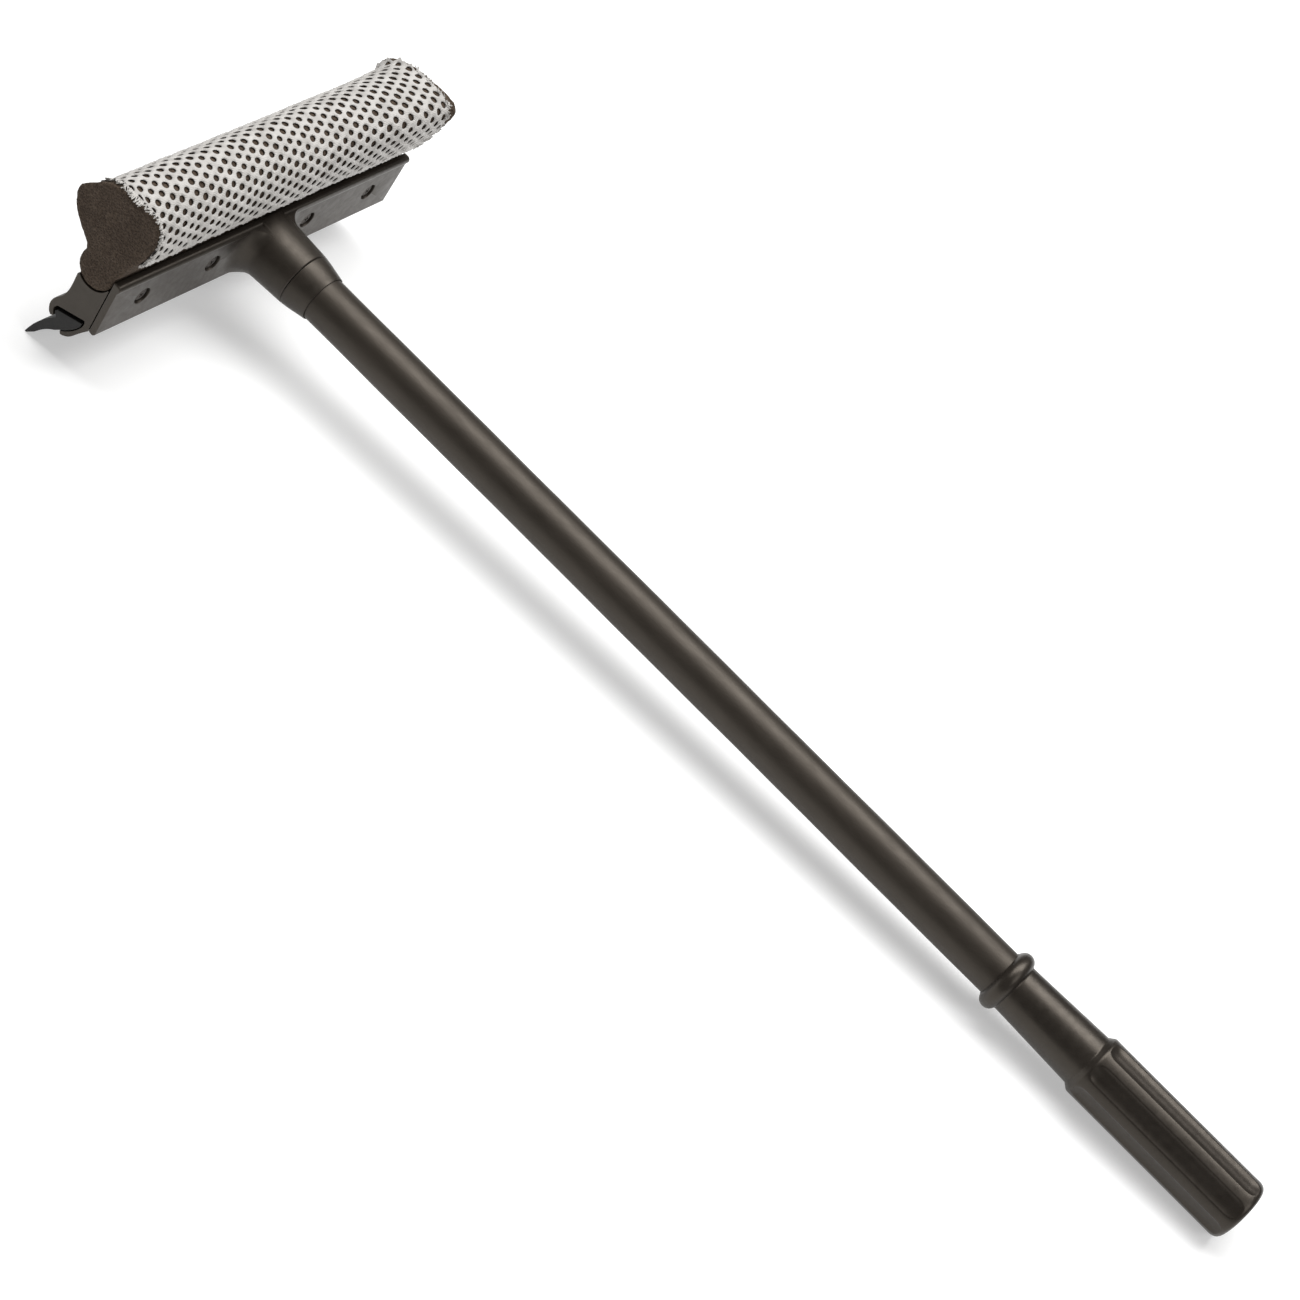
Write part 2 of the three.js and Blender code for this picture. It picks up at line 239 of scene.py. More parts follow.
def loft(name, rings):
    """A closed body through rings of equal length, flat at both ends."""
    rings = [np.asarray(r, float) for r in rings]
    count = len(rings[0])
    faces = tube_faces(len(rings), count)
    faces.append(tuple(reversed(range(count))))
    faces.append(tuple(range((len(rings) - 1) * count, len(rings) * count)))
    return bare_mesh(name, np.concatenate(rings), faces)


def along_x(outline, x):
    """An outline in (Y, Z) as points at one X."""
    return np.column_stack([np.full(len(outline), x), outline])


def prism(name, outline, start, end, edge=0.3, stations=()):
    """An outline in (Y, Z) run along X, its end edges rounded."""
    bends = np.radians(np.linspace(90, 0, 4))
    left = [(start + edge * (1 - math.sin(b)), edge * (1 - math.cos(b))) for b in bends]
    right = [(start + end - x, d) for x, d in reversed(left)]
    return loft(name, [along_x(inset(outline, d), x) for x, d in [*left, *((x, 0) for x in stations), *right]])


def revolve(name, profile, segments, radius_at=None):
    """A profile of (radius, Y) turned about the pole's axis. It closes on itself or starts and ends on the axis."""
    profile = [tuple(p) for p in profile]
    looped = np.allclose(profile[0], profile[-1])
    if looped:
        profile = profile[:-1]
    angles = np.arange(segments) * 2 * math.pi / segments
    points, rings = [], []
    for radius, y in profile:
        if radius < 1e-6:
            rings.append([len(points)])
            points.append((0, y, 0))
            continue
        radii = np.full(segments, radius) if radius_at is None else radius_at(radius, y, angles)
        rings.append(list(range(len(points), len(points) + segments)))
        points += [(r * math.sin(a), y, r * math.cos(a)) for r, a in zip(radii, angles)]
    faces = []
    for low, high in zip(rings, rings[1:] + ([rings[0]] if looped else [])):
        for i in range(segments):
            j = (i + 1) % segments
            if len(low) == 1:
                faces.append((low[0], high[i], high[j]))
            elif len(high) == 1:
                faces.append((low[i], low[j], high[0]))
            else:
                faces.append((low[i], low[j], high[j], high[i]))
    return bare_mesh(name, points, faces)


def scratch(mesh):
    """A passing object that carries modifiers for evaluated() or cuts for combined()."""
    thing = bpy.data.objects.new("scratch", mesh)
    bpy.context.scene.collection.objects.link(thing)
    return thing


def evaluated(thing):
    """The mesh of a scratch object with its modifiers applied; the object goes."""
    graph = bpy.context.evaluated_depsgraph_get()
    mesh = bpy.data.meshes.new_from_object(thing.evaluated_get(graph))
    bpy.data.objects.remove(thing)
    return mesh


def combined(mesh, others, operation):
    """Exact booleans of a mesh with several others, one after another."""
    for other in others:
        thing, tool = scratch(mesh), scratch(other)
        step = thing.modifiers.new("cut", "BOOLEAN")
        step.solver = "EXACT"
        step.operation = operation
        step.object = tool
        mesh = evaluated(thing)
        bpy.data.objects.remove(tool)
    return mesh


def moved(mesh, x=0.0, y=0.0, z=0.0):
    """The mesh itself, shifted."""
    mesh.transform(Matrix.Translation((x, y, z)))
    return mesh


def slab(low, high, bevel=0.0):
    """A cutting block between two corners, its edges rounded."""
    work = bmesh.new()
    bmesh.ops.create_cube(work, size=1)
    size, middle = np.subtract(high, low), np.add(high, low) / 2
    for v in work.verts:
        v.co = Vector(middle) + Vector(size * np.array(v.co[:]))
    if bevel:
        bmesh.ops.bevel(work, geom=work.edges[:], offset=bevel, segments=3, affect="EDGES", profile=0.5)
    mesh = bpy.data.meshes.new("slab")
    work.to_mesh(mesh)
    work.free()
    return mesh


def piece(name, mesh, material, replaces, body="washer", sharp=SHARP_ANGLE):
    """A finished piece: placed in the frame, smooth but for its sharp edges, riding on its body."""
    points = np.empty(len(mesh.vertices) * 3)
    mesh.vertices.foreach_get("co", points)
    mesh.vertices.foreach_set("co", place(points.reshape(-1, 3)).ravel())
    mesh.shade_smooth()
    mesh.set_sharp_from_angle(angle=math.radians(sharp))
    work = bmesh.new()
    work.from_mesh(mesh)
    for face in work.faces:                # flat ends keep a crisp rim
        if len(face.verts) > LARGEST_SMOOTH_FACE:
            for edge in face.edges:
                edge.smooth = False
    work.to_mesh(mesh)
    work.free()
    mesh.update()
    thing = bpy.data.objects.new(name, mesh)
    bpy.context.scene.collection.objects.link(thing)
    mesh.materials.clear()
    mesh.materials.append(material)
    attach(thing, body)
    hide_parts(*replaces)
    return thing


# ---------------------------------------------------------------- materials

NOISE_ROUGHNESS = 0.55
NOISE_SPAN = (0.3, 0.7)                   # the part of the noise's range that carries most of it
WARM_GLOSS = (1.0, 0.88, 0.75, 1)


def node_material(name):
    """A new material, its node tree and its shader."""
    material = bpy.data.materials.new(name)
    material.use_nodes = True
    tree = material.node_tree
    return material, tree, tree.nodes["Principled BSDF"]


def add_noise(tree, scale, detail, stretch=(1, 1, 1)):
    """Noise in object coordinates. scale is in features per metre, stretch slows it along an axis."""
    where = tree.nodes.new("ShaderNodeTexCoord")
    mapping = tree.nodes.new("ShaderNodeMapping")
    mapping.inputs["Scale"].default_value = stretch
    grain = tree.nodes.new("ShaderNodeTexNoise")
    grain.inputs["Scale"].default_value = scale
    grain.inputs["Detail"].default_value = detail
    grain.inputs["Roughness"].default_value = NOISE_ROUGHNESS
    tree.links.new(where.outputs["Object"], mapping.inputs["Vector"])
    tree.links.new(mapping.outputs["Vector"], grain.inputs["Vector"])
    return grain.outputs["Fac"]


def add_ramp(tree, source, stops):
    """Colour ramp over a source, from (position, colour) stops."""
    ramp = tree.nodes.new("ShaderNodeValToRGB")
    elements = ramp.color_ramp.elements
    while len(elements) < len(stops):
        elements.new(0.5)
    for element, (at, colour) in zip(elements, stops):
        element.position = at
        element.color = (*colour, 1)
    tree.links.new(source, ramp.inputs["Fac"])
    return ramp.outputs["Color"]


def add_range(tree, source, low, high):
    """Noise spread over the values from low to high."""
    scaled = tree.nodes.new("ShaderNodeMapRange")
    scaled.inputs["From Min"].default_value = NOISE_SPAN[0]
    scaled.inputs["From Max"].default_value = NOISE_SPAN[1]
    scaled.inputs["To Min"].default_value = low
    scaled.inputs["To Max"].default_value = high
    tree.links.new(source, scaled.inputs["Value"])
    return scaled.outputs["Result"]


def add_bump(tree, shader, heights):
    """Bumps of (height source, distance in metres, strength), one on another."""
    normal = None
    for source, distance, strength in heights:
        bump = tree.nodes.new("ShaderNodeBump")
        bump.inputs["Distance"].default_value = distance
        bump.inputs["Strength"].default_value = strength
        tree.links.new(source, bump.inputs["Height"])
        if normal:
            tree.links.new(normal, bump.inputs["Normal"])
        normal = bump.outputs["Normal"]
    tree.links.new(normal, shader.inputs["Normal"])


def scaled_colour(colour, factor):
    return tuple(min(1.0, c * factor) for c in colour)


def plastic(name, colour, roughness, grain=1500.0, grain_depth=0.00004, mottle=0.25, stretch=(1, 1, 1)):
    """Moulded plastic: cloudy colour, a fine leathery grain, uneven gloss."""
    material, tree, shader = node_material(name)
    cloud = add_noise(tree, 55, 4, stretch)
    stops = [(0.25, scaled_colour(colour, 1 - mottle)), (0.75, scaled_colour(colour, 1 + mottle))]
    tree.links.new(add_ramp(tree, cloud, stops), shader.inputs["Base Color"])
    wear = add_noise(tree, 320, 5, stretch)
    tree.links.new(add_range(tree, wear, roughness - 0.05, roughness + 0.06), shader.inputs["Roughness"])
    add_bump(tree, shader, [
        (add_noise(tree, grain, 2, stretch), grain_depth, 0.5),
        (add_noise(tree, 90, 2, stretch), 0.00025, 0.35),
    ])
    shader.inputs["Specular Tint"].default_value = WARM_GLOSS
    return material


def foam_material():
    """Open-cell foam: round cells of uneven size in a warm dark brown; painted shade darkens each cell towards its
    middle, where the bump sinks the pore.
    """
    material, tree, shader = node_material("open_cell_foam")
    where = tree.nodes.new("ShaderNodeTexCoord")
    cells = tree.nodes.new("ShaderNodeTexVoronoi")
    cells.inputs["Scale"].default_value = 1100
    tree.links.new(where.outputs["Object"], cells.inputs["Vector"])
    # painted shade: the foam's own warm brown darkens towards each cell's middle, where the same cells sink the pore
    # in the bump below
    stops = [(0.0, (0.030, 0.021, 0.0145)), (0.35, (0.062, 0.044, 0.031)), (0.8, (0.095, 0.070, 0.051))]
    base = add_ramp(tree, cells.outputs["Distance"], stops)
    blotch = add_ramp(tree, add_noise(tree, 90, 4), [(0.3, (0.72, 0.70, 0.68)), (0.7, (1.0, 1.0, 1.0))])
    mix = tree.nodes.new("ShaderNodeMix")
    mix.data_type = "RGBA"
    mix.blend_type = "MULTIPLY"
    mix.inputs["Factor"].default_value = 1.0
    tree.links.new(base, mix.inputs["A"])
    tree.links.new(blotch, mix.inputs["B"])
    tree.links.new(mix.outputs["Result"], shader.inputs["Base Color"])
    shader.inputs["Roughness"].default_value = 0.95
    shader.inputs["Specular IOR Level"].default_value = 0.25
    add_bump(tree, shader, [(cells.outputs["Distance"], 0.0006, 0.8), (add_noise(tree, 260, 4), 0.0008, 0.5)])
    return material


def net_material():
    """White knitted yarn: fine twisted grain, a little grey in the hollows."""
    material, tree, shader = node_material("knitted_netting")
    cloud = add_noise(tree, 130, 4)
    stops = [(0.25, (0.36, 0.343, 0.322)), (0.5, (0.475, 0.457, 0.433)), (0.8, (0.575, 0.557, 0.532))]
    tree.links.new(add_ramp(tree, cloud, stops), shader.inputs["Base Color"])
    shader.inputs["Roughness"].default_value = 0.62
    shader.inputs["Sheen Weight"].default_value = 0.15
    wave = tree.nodes.new("ShaderNodeTexWave")
    wave.wave_type = "BANDS"
    wave.bands_direction = "DIAGONAL"
    wave.inputs["Scale"].default_value = 420
    wave.inputs["Distortion"].default_value = 6
    wave.inputs["Detail"].default_value = 2
    where = tree.nodes.new("ShaderNodeTexCoord")
    tree.links.new(where.outputs["Object"], wave.inputs["Vector"])
    add_bump(tree, shader, [(wave.outputs["Fac"], 0.00018, 0.55), (add_noise(tree, 1900, 3), 0.00015, 0.5)])
    return material


def rubber_material():
    """Black rubber, a little dusty, with faint lines along the moulding."""
    material, tree, shader = node_material("blade_rubber")
    dust = add_noise(tree, 240, 5)
    tree.links.new(add_ramp(tree, dust, [(0.3, (0.010, 0.0095, 0.009)), (0.75, (0.022, 0.021, 0.02))]),
                   shader.inputs["Base Color"])
    tree.links.new(add_range(tree, add_noise(tree, 60, 4), 0.5, 0.68), shader.inputs["Roughness"])
    shader.inputs["Specular IOR Level"].default_value = 0.3
    add_bump(tree, shader, [(add_noise(tree, 900, 2, (0.05, 1, 1)), 0.00006, 0.5)])
    return material


def steel_material(name, colour, roughness):
    """Plated steel: turned marks and small stains."""
    material, tree, shader = node_material(name)
    stain = add_noise(tree, 700, 5)
    stops = [(0.3, scaled_colour(colour, 0.6)), (0.7, colour)]
    tree.links.new(add_ramp(tree, stain, stops), shader.inputs["Base Color"])
    tree.links.new(add_range(tree, add_noise(tree, 2200, 3), roughness - 0.08, roughness + 0.12),
                   shader.inputs["Roughness"])
    shader.inputs["Metallic"].default_value = 1.0
    add_bump(tree, shader, [(add_noise(tree, 3000, 3), 0.00004, 0.5)])
    return material


HEAD_PLASTIC = plastic("head_plastic", (0.0165, 0.0135, 0.0108), 0.42)
POLE_PLASTIC = plastic("pole_plastic", (0.021, 0.0172, 0.0138), 0.46, 1300, 0.00005, 0.22, (1, 0.3, 1))
GRIP_PLASTIC = plastic("grip_plastic", (0.0155, 0.0128, 0.0105), 0.36, 1300, 0.00004, 0.2)
PLUG_PLASTIC = plastic("plug_plastic", (0.12, 0.11, 0.10), 0.6)
FOAM = foam_material()
NETTING = net_material()
RUBBER = rubber_material()
DARK_STEEL = steel_material("dark_steel", (0.06, 0.05, 0.042), 0.45)
PLAIN_STEEL = steel_material("plain_steel", (0.55, 0.54, 0.52), 0.35)

# ---------------------------------------------------------------- head: front moulding


def plate_outline():
    """Section of the plate: rounded lower edge, raised bead along the upper one."""
    half = PLATE_THICKNESS / 2
    outline = joined(
        (PLATE_THICKNESS, PLATE_TOP),
        (PLATE_THICKNESS, PLATE_BOTTOM + 0.4),
        arc((half, PLATE_BOTTOM + half), half, 270, 180, 8),
        (0, BEAD_START),
        arc((2 - BEAD_OVERHANG, PLATE_TOP - 2), 2, 190, 90, 12),
    )
    return soften(outline, 0.6)


def socket_shape():
    """The socket's cone with its fillet, cut flat by the plate's upper and lower edges."""
    root = SOCKET_ROOT_RADIUS + SOCKET_FILLET
    cone = [(0, -SOCKET_LENGTH), (SOCKET_END_RADIUS - 0.4, -SOCKET_LENGTH), (SOCKET_END_RADIUS, -SOCKET_LENGTH + 0.4),
            (SOCKET_ROOT_RADIUS, -SOCKET_FILLET)]
    fillet = arc((root, -SOCKET_FILLET), SOCKET_FILLET, 172, 90, 20)
    flare = revolve("flare", [*cone, *fillet, (root, 1), (0, 1)], ROUND_SEGMENTS)
    straight = revolve("straight", [*cone, (SOCKET_ROOT_RADIUS, 1.2), (0, 1.2)], ROUND_SEGMENTS)
    window = slab((-40, -SOCKET_LENGTH - 1, -SOCKET_ROOT_RADIUS), (40, 2, PLATE_TOP - 0.6))
    upper = slab((-40, -SOCKET_LENGTH - 1, PLATE_BOTTOM + 0.5), (40, 2, 40))
    return combined(combined(flare, [window], "INTERSECT"), [combined(straight, [upper], "INTERSECT")], "UNION")


def screw_seat(x):
    """Cutter for one recess: a round pocket with a soft lip, and the hole for the shank."""
    depth, wide, hole = SCREW_RECESS_DEPTH, SCREW_RECESS_RADIUS, SCREW_SHANK_RADIUS + CLEARANCE
    profile = [(0, -2), (wide + 0.5, -2), (wide + 0.5, -0.01), (wide + 0.12, 0.12), (wide, 0.5), (wide, depth - 0.3),
               (wide - 0.3, depth), (hole, depth), (hole, PLATE_THICKNESS + 2), (0, PLATE_THICKNESS + 2)]
    return moved(revolve("seat", profile, SCREW_SEGMENTS), x, 0, SCREW_HEIGHT)


def pin(radius, start, end, x=0.0, z=0.0, segments=SCREW_SEGMENTS):
    """A plain cylinder along Y."""
    return moved(revolve("pin", [(0, start), (radius, start), (radius, end), (0, end)], segments), x, 0, z)


def front_moulding():
    """Plate and pole socket, with the socket's bore, the screw seats and the handle screw's countersunk hole."""
    mesh = prism("front_moulding", plate_outline(), -HEAD_HALF, HEAD_HALF, 0.5)
    mesh = combined(mesh, [socket_shape()], "UNION")
    cuts = [pin(POLE_RADIUS + CLEARANCE, -SOCKET_LENGTH - 2, SOCKET_FLOOR, segments=ROUND_SEGMENTS)]
    cuts += [screw_seat(x) for x in SCREW_STATIONS]
    cuts.append(pin(HANDLE_SCREW_HOLE, -6, 1.2))
    sink = [(0, 1), (HANDLE_SCREW_HOLE, 1), (HANDLE_SCREW_SINK, 3.0), (HANDLE_SCREW_SINK, 5), (0, 5)]
    cuts.append(revolve("sink", sink, SCREW_SEGMENTS))
    mesh = combined(mesh, cuts, "DIFFERENCE")
    return piece("front_moulding_body", mesh, HEAD_PLASTIC, replaces=["front_moulding"])


# ---------------------------------------------------------------- head: rear moulding


def rear_outline():
    """Section of the rear moulding: cradle, waist, and the hooked channel for the blade."""
    front = PLATE_THICKNESS + CLEARANCE
    outline = joined(
        (front, PLATE_BOTTOM),
        (front, 7.3),
        arc(TAIL_CENTRE, TAIL_RADIUS + CLEARANCE, 202, 308, 40),
        smooth([(19.6, 2.4), (19.4, -4), (19.7, -8.5), (21, -12.8), (23.6, -16.6), (24.5, -20.4), (23.5, -23.8),
                (21.9, -25.4)], 42),
        (20.5, -24.3),
        smooth([(21.2, -23.2), (21.9, -21.2), (20.9, -18.9)], 12),
        (20.2, -18.5),
        (6.8, -14.0),
        smooth([(6.3, -15.4), (6.9, -18.4), (9.2, -22.6), (12.4, -26.2), (14.8, -28.1)], 24),
        (14.0, -29.4),
        smooth([(12.5, -28.9), (9.6, -26.6), (6.4, -21.4), (4.6, -18.6)], 24),
    )
    return soften(outline, 0.45)


def core_pockets():
    """Cutters for the lightening pockets behind, between the bosses of the screws."""
    wall, boss = 2.6, 4.6
    inner, outer = SCREW_STATIONS[2:]
    spans = [(wall / 2, inner - boss), (inner + boss, outer - boss), (outer + boss, HEAD_HALF - wall)]
    spans += [(-b, -a) for a, b in spans]
    return [slab((a, 7.2, -10.6), (b, 26, -1.6), 0.8) for a, b in spans]


def rear_moulding():
    """Body behind the plate, with its pockets and the holes for the screws."""
    mesh = prism("rear_moulding", rear_outline(), -HEAD_HALF, HEAD_HALF, 0.14)
    end = SCREW_RECESS_DEPTH + SCREW_SHANK_LENGTH + 1
    holes = [pin(SCREW_SHANK_RADIUS + CLEARANCE, 0, end, x, SCREW_HEIGHT, 32) for x in SCREW_STATIONS]
    mesh = combined(mesh, [*core_pockets(), *holes], "DIFFERENCE")
    return piece("rear_moulding_body", mesh, HEAD_PLASTIC, replaces=["rear_moulding"])


# ---------------------------------------------------------------- head: screws


def cross_recess(top):
    """Cutter for a cross: two tapered arms."""
    arm, half, depth = SCREW_HEAD_RADIUS * 0.6, 0.42, 0.7
    cutters = []
    for long_way in (0, 1):
        points = []
        for y, shrink in ((top - 1, 1.0), (top + depth, 0.45)):
            for u, v in ((-1, -1), (1, -1), (1, 1), (-1, 1)):
                a, b = u * arm * shrink, v * half * (0.4 + 0.6 * shrink)
                points.append((a, y, b) if long_way else (b, y, a))
        faces = [(0, 1, 2, 3), (4, 5, 6, 7), (0, 1, 5, 4), (1, 2, 6, 5), (2, 3, 7, 6), (3, 0, 4, 7)]
        cutters.append(bare_mesh("arm", points, faces))
    return cutters


def clamp_screw(index, x):
    """Domed screw with a cross recess and a rolled thread, turned its own way."""
    seat = SCREW_RECESS_DEPTH - CLEARANCE
    top, tip = seat - 0.95, seat + SCREW_SHANK_LENGTH
    crown = [(SCREW_HEAD_RADIUS * math.sin(a), top + 0.6 * (1 - math.cos(a))) for a in np.radians(range(15, 91, 15))]
    thread, thread_root = [], SCREW_SHANK_RADIUS - 0.35
    for i in range(8):
        y = seat + 1.2 + i * 1.1
        thread += [(thread_root, y), (SCREW_SHANK_RADIUS, y + 0.45), (thread_root, y + 0.9)]
    profile = [(0, top), *crown, (SCREW_HEAD_RADIUS, seat), (SCREW_SHANK_RADIUS - 0.1, seat), *thread,
               (0.5, tip - 0.8), (0, tip)]
    mesh = combined(revolve("screw", profile, SCREW_SEGMENTS), cross_recess(top), "DIFFERENCE")
    mesh.transform(Matrix.Rotation(math.radians(27 * index + 12), 4, "Y"))
    moved(mesh, x, 0, SCREW_HEIGHT)
    return piece(f"clamp_screw_{index}_head", mesh, DARK_STEEL, replaces=[f"clamp_screw_{index}"])


# ---------------------------------------------------------------- head: sponge

# Sections of the sponge's crown, from the front of its tail over the top to the notch behind. Under the netting the
# roll is drawn in and rounded (HELD_CROWN), and towards the far end it leans forward over the plate (LEANING_CROWN).
# At its ends it swells, each in its own way. The near end, which the netting leaves bare, swells most.
NEAR_CROWN = [(1.9, 16.5), (0.4, 22.5), (-2.6, 29.5), (-4.9, 36.5), (-5.4, 43), (-4.5, 48.6), (-1.4, 52.2),
              (3.5, 53.2), (10, 52.0), (17.5, 51.2), (23.5, 49.8), (27.6, 47.2), (32.0, 43.2), (36.0, 39.2),
              (37.3, 35.8), (36.2, 31.6), (33.2, 26.2), (28.8, 22.2), (22.9, 17.6)]
FAR_CROWN = [(1.7, 16.5), (-0.6, 23.2), (-5.0, 33.0), (-8.4, 43.8), (-8.8, 50.2), (-5.4, 53.6), (3.0, 54.1),
             (12.5, 53.5), (22.0, 51.8), (30.6, 48.8), (36.6, 44.0), (38.0, 38.0), (35.4, 30.6), (29.2, 24.2),
             (23.0, 18.0)]
HELD_CROWN = [(1.9, 16.5), (0.2, 20.5), (-0.9, 25), (-1.0, 30), (0.2, 36), (3.2, 42), (8.2, 47), (14.5, 49.6),
              (20.5, 49.8), (25.6, 47.0), (29.7, 42.4), (31.8, 37), (31.6, 31), (28.4, 24.6), (22.9, 17.6)]
LEANING_CROWN = [(1.7, 16.5), (-0.6, 22.6), (-3.4, 30.5), (-6.0, 38), (-7.2, 44.6), (-6.0, 50.2), (-1.6, 52.8),
                 (5.5, 52.9), (13.5, 52.0), (21.0, 50.4), (27.4, 47.0), (31.4, 42.6), (33.0, 37), (32.0, 31),
                 (28.4, 24.6), (23, 18)]
NEAR_SWELL = 9.0                          # lengths over which the ends swell past the netting
FAR_SWELL = 5.0
FAR_SWELL_SHARE = 0.7
SWELL_END = 0.4                           # swollen full this far from the end face
LEAN_POWER = 1.7
CROWN_STEPS = 240
SPONGE_VOXEL = 0.95
SPONGE_STATIONS = 60


def swell(gap, length):
    """How free the foam is, `gap` millimetres from its end."""
    held = min(max((gap - SWELL_END) / length, 0.0), 1.0)
    return 1 - held * held * (3 - 2 * held)


def even(points, count):
    """The line resampled to equal steps."""
    run = np.concatenate([[0], np.cumsum(np.linalg.norm(np.diff(points, axis=0), axis=1))])
    at = np.linspace(0, run[-1], count)
    return np.stack([np.interp(at, run, points[:, k]) for k in (0, 1)], axis=1)


CROWN_NEAR, CROWN_FAR, CROWN_HELD, CROWN_LEANING = [
    even(smooth(points, 400), CROWN_STEPS + 1) for points in (NEAR_CROWN, FAR_CROWN, HELD_CROWN, LEANING_CROWN)]
CROWN_LENGTH = float(np.linalg.norm(np.diff(CROWN_HELD, axis=0), axis=1).sum())


def crown_at(x, along):
    """Point in (Y, Z) and outward normal of the sponge's crown, `along` millimetres from the front edge."""
    t = np.clip(along / CROWN_LENGTH, 0, 1) * CROWN_STEPS
    i = min(int(t), CROWN_STEPS - 1)
    lean = min(max(x / HEAD_HALF, 0.0), 1.0) ** LEAN_POWER
    near, far = swell(x + HEAD_HALF, NEAR_SWELL), FAR_SWELL_SHARE * swell(HEAD_HALF - x, FAR_SWELL)
    lines = ((CROWN_HELD, (1 - lean) * (1 - near) * (1 - far)), (CROWN_LEANING, lean * (1 - near) * (1 - far)),
             (CROWN_NEAR, near), (CROWN_FAR, far))
    a, b = (sum(line[k] * share for line, share in lines) for k in (i, i + 1))
    step = (b - a) / np.linalg.norm(b - a)
    return a + (b - a) * (t - i), np.array([-step[1], step[0]])


def puff(x, along):
    """Unevenness of the roll, in millimetres."""
    slow = noise.noise(Vector((x * 0.028, along * 0.05, 3.7)))
    quick = noise.noise(Vector((x * 0.1, along * 0.12, 9)))
    return 0.55 * slow + 0.2 * quick


def sponge_ring(x, shrink):
    """The sponge's whole section at x: front of the tail, crown, round tail."""
    front = PLATE_THICKNESS + CLEARANCE + 0.2
    crown = []
    for along in np.linspace(0, CROWN_LENGTH, 90):
        point, normal = crown_at(x, along)
        crown.append(point + normal * (puff(x, along) - 0.25))
    outline = joined(
        (front, 12.0),
        (front, PLATE_TOP + 0.5),
        np.array(crown),
        arc(TAIL_CENTRE, TAIL_RADIUS, 385, 186, 60),
    )
    return along_x(inset(outline, shrink), x)


def sponge():
    """Foam roll: lofted through its sections, evened out, then roughened like cut foam."""
    ends = [(-HEAD_HALF, 0.9), (-HEAD_HALF + 0.3, 0.35), (-HEAD_HALF + 0.9, 0)]
    stations = [(x, 0) for x in np.linspace(-HEAD_HALF + 3, HEAD_HALF - 3, SPONGE_STATIONS)]
    rings = [sponge_ring(x, d) for x, d in [*ends, *stations, *((-x, d) for x, d in reversed(ends))]]
    thing = scratch(loft("sponge", rings))
    grid = thing.modifiers.new("grid", "REMESH")
    grid.mode = "VOXEL"
    grid.voxel_size = SPONGE_VOXEL
    mesh = evaluated(thing)
    co, normals = np.empty((2, len(mesh.vertices) * 3))
    mesh.vertices.foreach_get("co", co)
    mesh.vertex_normals.foreach_get("vector", normals)
    co, normals = co.reshape(-1, 3), normals.reshape(-1, 3)
    fine = np.array([noise.noise(Vector(p) * 0.9) * 0.16 + noise.noise(Vector(p) * 0.33) * 0.22 for p in co])
    at_end = np.clip((np.abs(co[:, 0]) - HEAD_HALF + 1.6) / 1.6, 0, 1)
    co += normals * (fine * (0.6 + 0.5 * at_end))[:, None]
    mesh.vertices.foreach_set("co", co.ravel())
    thing = piece("sponge_foam", mesh, FOAM, replaces=["sponge"], sharp=60)
    return thing


# ---------------------------------------------------------------- head: netting

NET_COLUMN = 4.65                         # between columns of holes, along the head
NET_ROW = 5.0                             # between holes of a column, round the roll
NET_SIDES = 12                            # of one hole
NET_BASE = 0.12                           # gap between foam and yarn
NET_TOP = 0.85
HOLE_RADII = (1.66, 1.4)
HOLE_SECTION = ((0.5, 0.86), (0.16, 0.66), (0.0, 0.4), (0.1, 0.18), (0.4, 0.0))  # (wider by, share of NET_TOP)
HEM = 0.9                                 # plain edge without holes
HEM_RAMP = 2.4                            # over which the holes grow to their full size
NET_FRONT = ((-102, 7.4), (20, 7.0), (60, 5.6), (102, 3.0))  # (X, foam left bare before the front edge)
# (way round the roll, how far the cut edge is drawn in)
NEAR_TRIM = ((0, 6.0), (9, 3.6), (20, 1.4), (43, 1.2), (60, 5.5), (100, 6.5))
FAR_TRIM = ((0, 1.2), (10, 2.2), (24, 3.4), (38, 2.4), (52, 0.9), (100, 2.0))
TRIM_START = 66                           # where the lattice starts to give way to the cut edges
TRIM_LENGTH = 34
YARN_ENDS = 210
NEAR_YARN_SHARE = 0.64
YARN_SIDES = 8


def cell_corners():
    """The twelve points round one cell of the staggered lattice: its six corners and the middles of its sides."""
    half = NET_ROW / 2
    inner = (NET_COLUMN ** 2 - half ** 2) / (2 * NET_COLUMN)
    outer = (NET_COLUMN ** 2 + half ** 2) / (2 * NET_COLUMN)
    six = [(outer, 0), (inner, half), (-inner, half), (-outer, 0), (-inner, -half), (inner, -half)]
    out = []
    for a, b in zip(six, six[1:] + six[:1]):
        out += [a, ((a[0] + b[0]) / 2, (a[1] + b[1]) / 2)]
    return out


def net_point(x, along, height):
    """A place on the netting, `height` above the foam. Yarns wander a little, and the cut ends are not square."""
    drift = Vector((x * 0.11, along * 0.13, 0.0))
    along = along + float(np.interp(x, *zip(*NET_FRONT))) + 0.35 * noise.noise(drift + Vector((0, 0, 5)))
    near, far = (max(0.0, side * x - TRIM_START) / TRIM_LENGTH for side in (-1, 1))
    x = x + 0.35 * noise.noise(drift)
    x += near ** 3 * float(np.interp(along, *zip(*NEAR_TRIM))) - far ** 3 * float(np.interp(along, *zip(*FAR_TRIM)))
    point, normal = crown_at(x, along)
    out = NET_BASE + height + puff(x, along)
    return (x, *(point + normal * out))


